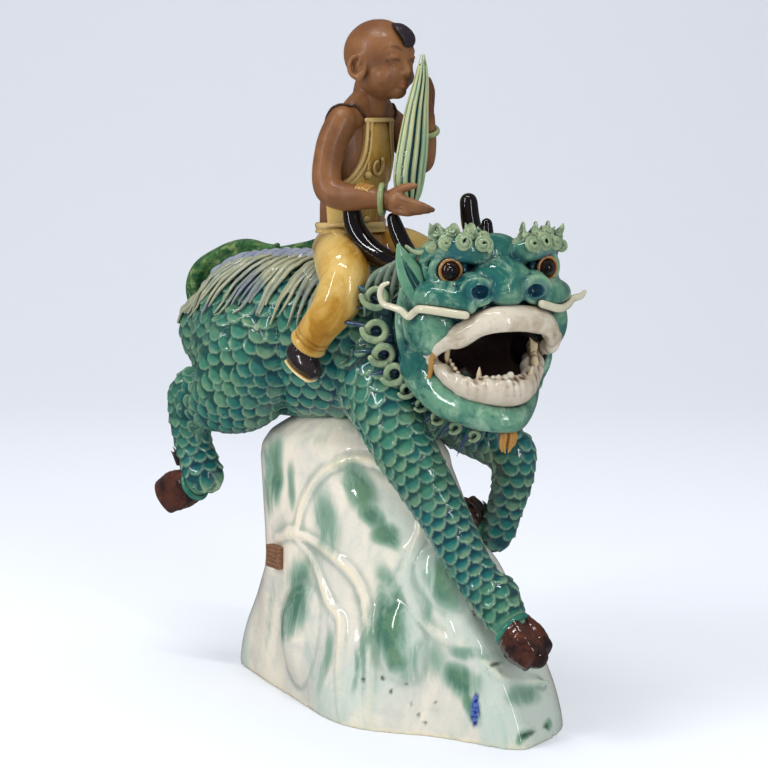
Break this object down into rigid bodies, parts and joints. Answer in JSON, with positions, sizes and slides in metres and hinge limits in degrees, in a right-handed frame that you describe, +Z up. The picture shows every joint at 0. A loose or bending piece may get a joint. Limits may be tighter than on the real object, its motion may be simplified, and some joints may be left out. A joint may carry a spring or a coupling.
{
  "type": "foo dog statue",
  "caption": "Glazed stoneware statue of a child riding a horned, scaled, hoofed guardian beast that leaps over a glazed rock; stands on its own hollow foot.",
  "frame": {"origin": "on the table under the middle of the whole statue's bounding box", "axes": "+X the way the beast leaps, +Y to the beast's left, +Z up; the beast's head looks over its right shoulder, towards -Y"},
  "size_m": [0.3202, 0.13, 0.4094],
  "materials": {
    "amber_glaze": "glossy coloured glaze that pools dark in hollows",
    "bare_clay": "unglazed warm brown clay with a faint sheen",
    "black_glaze": "glossy coloured glaze that pools dark in hollows",
    "celadon_glaze": "glossy coloured glaze that pools dark in hollows",
    "cream_glaze": "glossy coloured glaze that pools dark in hollows",
    "curl_glaze": "glossy coloured glaze that pools dark in hollows",
    "face_glaze": "glossy coloured glaze that pools dark in hollows",
    "hoof_glaze": "glossy coloured glaze that pools dark in hollows",
    "lip_glaze": "glossy coloured glaze that pools dark in hollows",
    "mane_glaze": "glossy coloured glaze that pools dark in hollows",
    "rock_glaze": "glossy coloured glaze that pools dark in hollows",
    "scale_glaze": "glossy coloured glaze that pools dark in hollows",
    "tail_glaze": "glossy coloured glaze that pools dark in hollows",
    "yellow_glaze": "glossy coloured glaze that pools dark in hollows"
  },
  "bodies": {
    "root": {"antler_left": "black_glaze", "antler_right": "black_glaze", "arm_left": "bare_clay", "arm_right": "bare_clay", "beard_tuft": "amber_glaze", "beast_head": "face_glaze", "beast_torso": "scale_glaze", "bib": "yellow_glaze", "bracelet_left": "celadon_glaze", "bracelet_right": "celadon_glaze", "brow_curls_left": "curl_glaze", "brow_curls_right": "curl_glaze", "chest_curl": "cream_glaze", "chest_pendant": "amber_glaze", "ear_left": "face_glaze", "ear_right": "face_glaze", "eye_left": "amber_glaze", "eye_right": "amber_glaze", "foreleg_left": "scale_glaze", "foreleg_left_hoof": "hoof_glaze", "foreleg_left_tuft": "hoof_glaze", "foreleg_right": "scale_glaze", "foreleg_right_hoof": "hoof_glaze", "foreleg_right_tuft": "hoof_glaze", "forelock": "black_glaze", "hand_left": "bare_clay", "hand_right": "bare_clay", "hind_leg_left": "scale_glaze", "hind_leg_left_hoof": "hoof_glaze", "hind_leg_left_tuft": "hoof_glaze", "hind_leg_right": "scale_glaze", "hind_leg_right_hoof": "hoof_glaze", "hind_leg_right_tuft": "hoof_glaze", "leaf_sheaf": "celadon_glaze", "lower_jaw": "face_glaze", "lower_lip": "lip_glaze", "lower_tooth_left": "lip_glaze", "lower_tooth_right": "lip_glaze", "mane_collar_left": "curl_glaze", "mane_collar_right": "curl_glaze", "mane_fringe_left": "mane_glaze", "mane_fringe_right": "mane_glaze", "rider_head": "bare_clay", "rider_torso": "bare_clay", "rock_base": "rock_glaze", "seal_tablet": "bare_clay", "shoe_left": "black_glaze", "shoe_right": "black_glaze", "spine_ridge": "mane_glaze", "tail": "tail_glaze", "trousers": "yellow_glaze", "tusk_left": "lip_glaze", "tusk_right": "lip_glaze", "upper_lip": "lip_glaze", "waist_band": "cream_glaze", "whisker_left": "lip_glaze", "whisker_right": "lip_glaze"}
  },
  "joints": []
}
